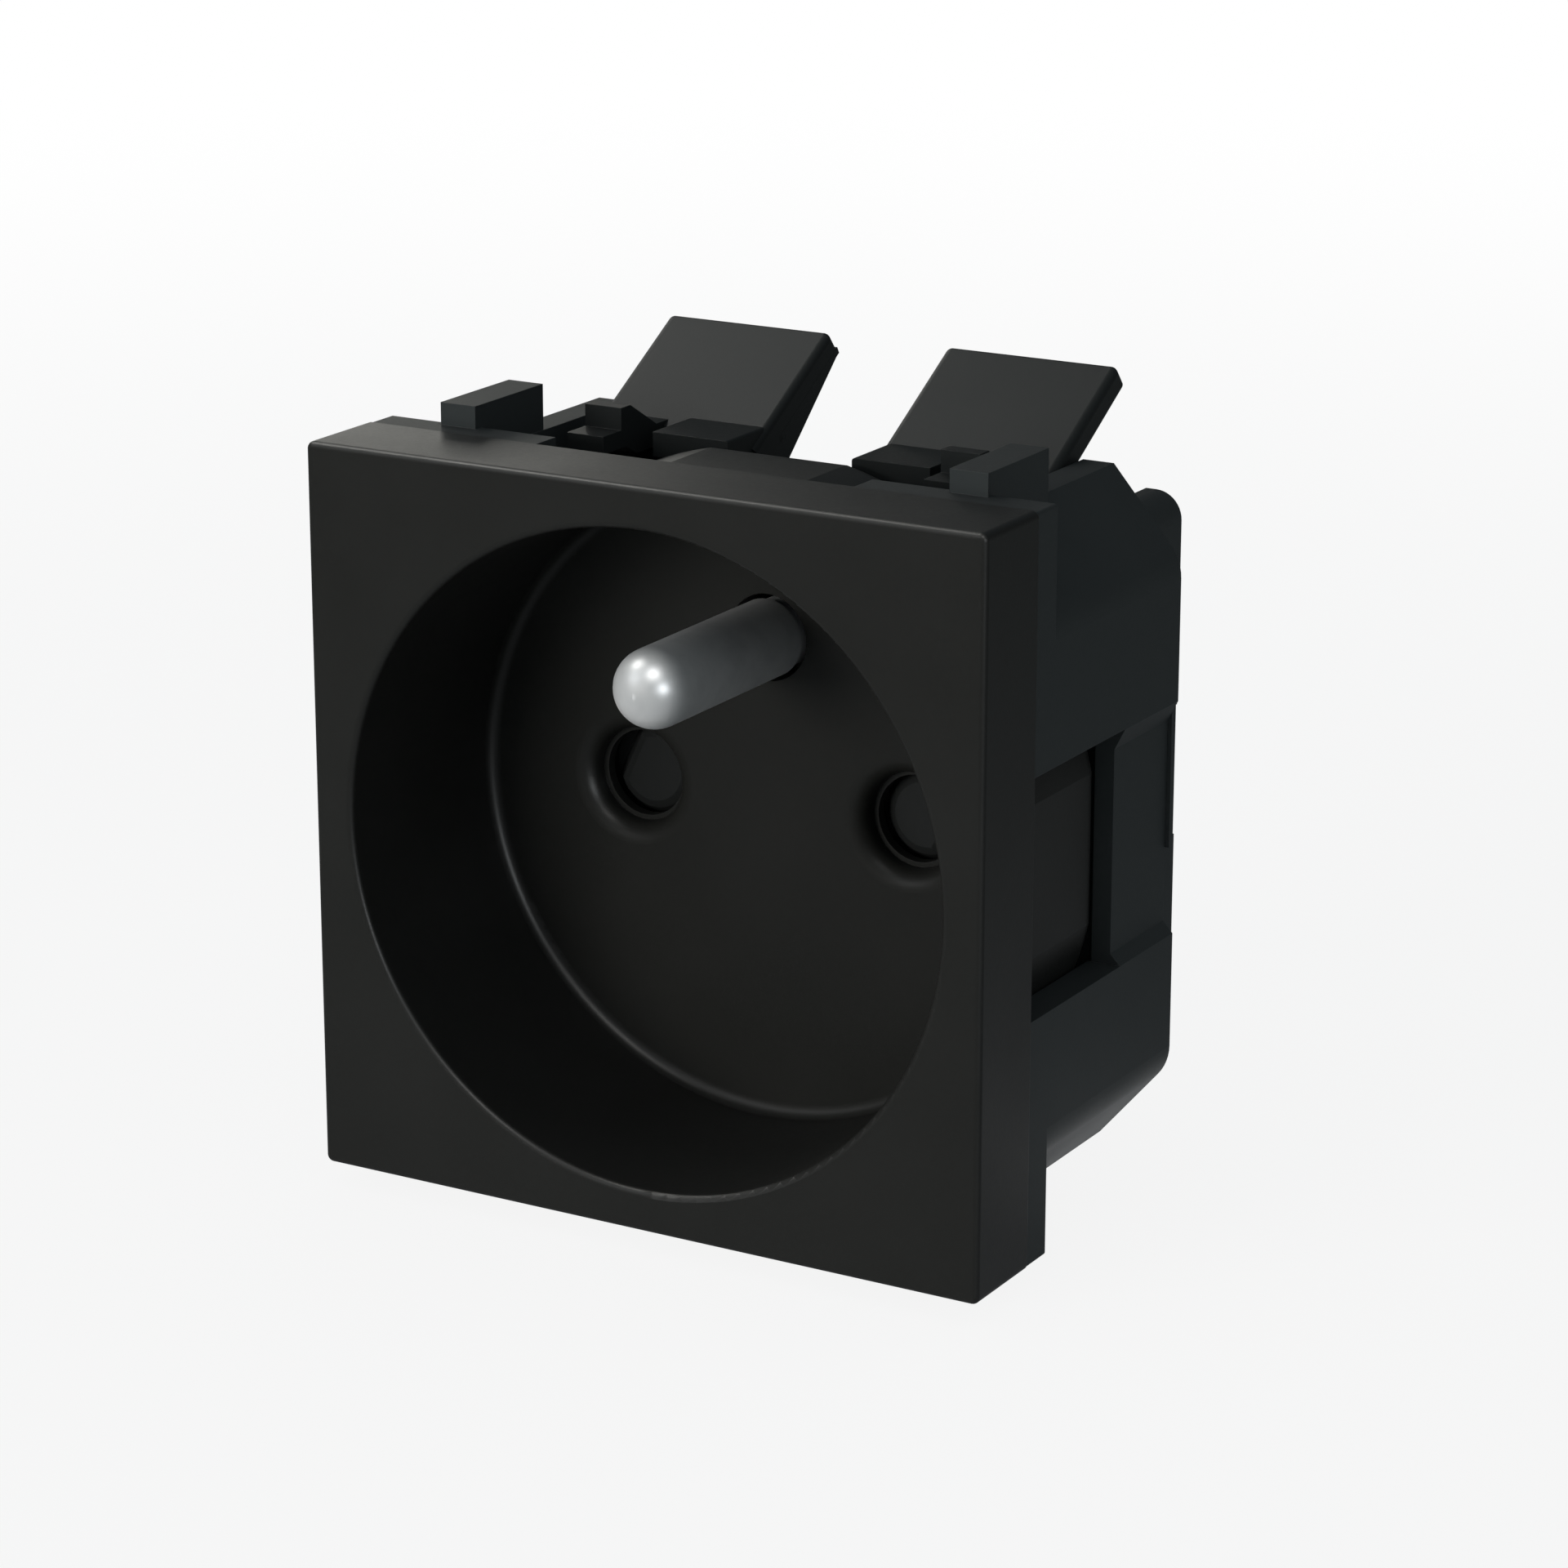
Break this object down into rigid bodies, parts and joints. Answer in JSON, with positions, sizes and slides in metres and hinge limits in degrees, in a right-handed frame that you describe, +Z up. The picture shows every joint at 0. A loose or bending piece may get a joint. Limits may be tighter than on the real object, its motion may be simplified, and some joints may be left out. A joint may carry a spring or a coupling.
{
  "type": "wall socket",
  "caption": "Square wall socket module with a round recessed well, a projecting earth pin, a rotary shutter behind two live holes, snap-in lugs and two release levers.",
  "frame": {"origin": "centre of the square front face", "axes": "X right as seen by the user, Y into the wall, Z up"},
  "size_m": [0.045, 0.0358, 0.0493],
  "materials": {
    "cover_plastic": "fine-grained matt black, slightly warm",
    "housing_plastic": "fine-grained matt black, slightly cool",
    "shutter_plastic": "satin black",
    "nickel": "nickel plated brass",
    "brass": "bright rolled strip",
    "spring_steel": "bright spring steel"
  },
  "bodies": {
    "socket": {"cover": "cover_plastic", "housing": "housing_plastic", "rear_cover": "housing_plastic", "shutter_retainer": "shutter_plastic", "earth_pin": "nickel", "earth_bar": "brass", "shutter_spring": "spring_steel", "terminal_cage_left": "nickel", "terminal_cage_right": "nickel", "terminal_cage_earth": "nickel", "contact_left": "brass", "contact_clip_left": "spring_steel", "lever_pin_left": "spring_steel", "leaf_spring_left": "spring_steel", "contact_right": "brass", "contact_clip_right": "spring_steel", "lever_pin_right": "spring_steel", "leaf_spring_right": "spring_steel", "clamp_spring_left": "spring_steel", "clamp_spring_earth": "spring_steel", "clamp_spring_right": "spring_steel"},
    "lever_left": {"lever_left": "housing_plastic"},
    "lever_right": {"lever_right": "housing_plastic"},
    "shutter": {"shutter": "shutter_plastic"}
  },
  "joints": [
    {"name": "lever_left_lift", "type": "hinge", "parent": "socket", "child": "lever_left", "pos_m": [-0.00984, 0.0227, 0.019], "axis": [1, 0, 0], "range_deg": [0, 12], "stiffness_Nm_per_rad": 0.002, "springref_deg": -28.65, "deforming": ["leaf_spring_left"]},
    {"name": "lever_right_lift", "type": "hinge", "parent": "socket", "child": "lever_right", "pos_m": [0.00984, 0.0227, 0.019], "axis": [1, 0, 0], "range_deg": [0, 12], "stiffness_Nm_per_rad": 0.002, "springref_deg": -28.65, "deforming": ["leaf_spring_right"]},
    {"name": "shutter_turn", "type": "hinge", "parent": "socket", "child": "shutter", "pos_m": [0, 0.018, 0], "axis": [0, 1, 0], "range_deg": [0, 40], "stiffness_Nm_per_rad": 0.0005, "springref_deg": -28.65}
  ]
}
